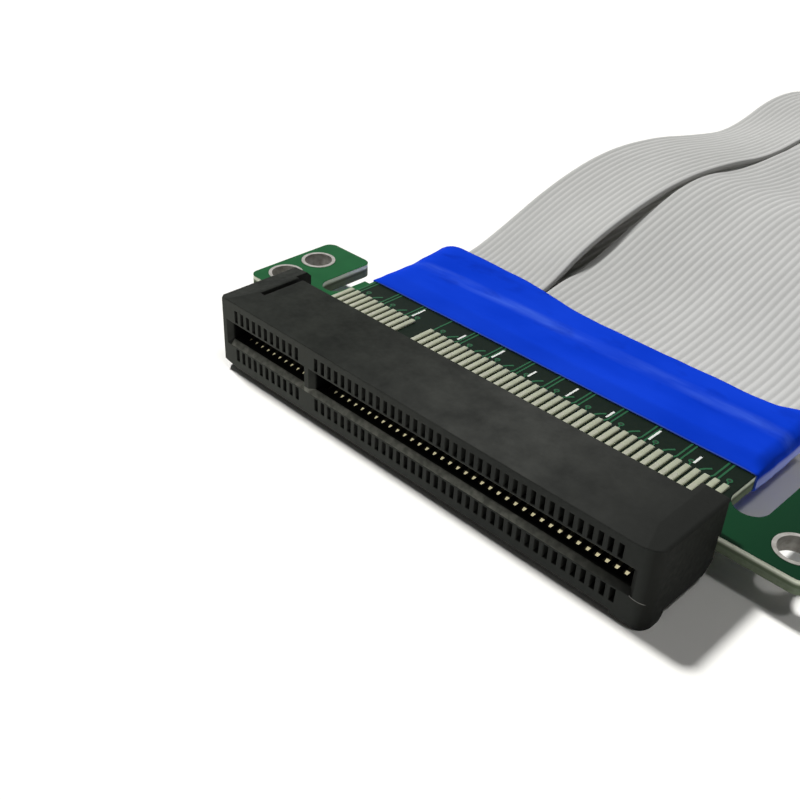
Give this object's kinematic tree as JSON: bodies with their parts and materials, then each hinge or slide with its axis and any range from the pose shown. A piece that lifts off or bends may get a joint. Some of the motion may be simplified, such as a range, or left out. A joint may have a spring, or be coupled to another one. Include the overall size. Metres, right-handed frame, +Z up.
{
  "type": "pci express riser card",
  "caption": "Edge socket on a small board with screw wings, joined by flat ribbon cables to a keyed plug board.",
  "frame": {"origin": "middle of the object's box, on the table it lies on", "axes": "+X along the contact rows from contact 1 to the last contact, +Y from the socket's mouth to the plug's fingers, +Z up out of the boards' upper faces"},
  "size_m": [0.0726, 0.2, 0.0126],
  "materials": {
    "housing_plastic": "fine matte black moulding",
    "contact_metal": "gold-flashed spring strip",
    "circuit_board": "green solder mask over glass laminate",
    "tinned_pads": "tinned copper with solder",
    "hole_plating": "plated hole lining",
    "blue_sleeve": "blue heat-shrunk film",
    "ribbon_jacket": "light grey ribbed insulation",
    "gold_fingers": "hard gold plating"
  },
  "bodies": {
    "root": {"socket_housing": "housing_plastic", "upper_contacts_short_row": "contact_metal", "upper_contacts_long_row": "contact_metal", "lower_contacts_short_row": "contact_metal", "lower_contacts_long_row": "contact_metal", "socket_board": "circuit_board", "socket_upper_pads": "tinned_pads", "socket_lower_pads": "tinned_pads", "mounting_hole_platings": "hole_plating", "socket_sleeve": "blue_sleeve", "upper_narrow_ribbon": "ribbon_jacket", "upper_wide_ribbon": "ribbon_jacket", "lower_narrow_ribbon": "ribbon_jacket", "lower_wide_ribbon": "ribbon_jacket", "plug_board": "circuit_board", "plug_upper_fingers": "gold_fingers", "plug_lower_fingers": "gold_fingers", "plug_sleeve": "blue_sleeve"}
  },
  "joints": []
}
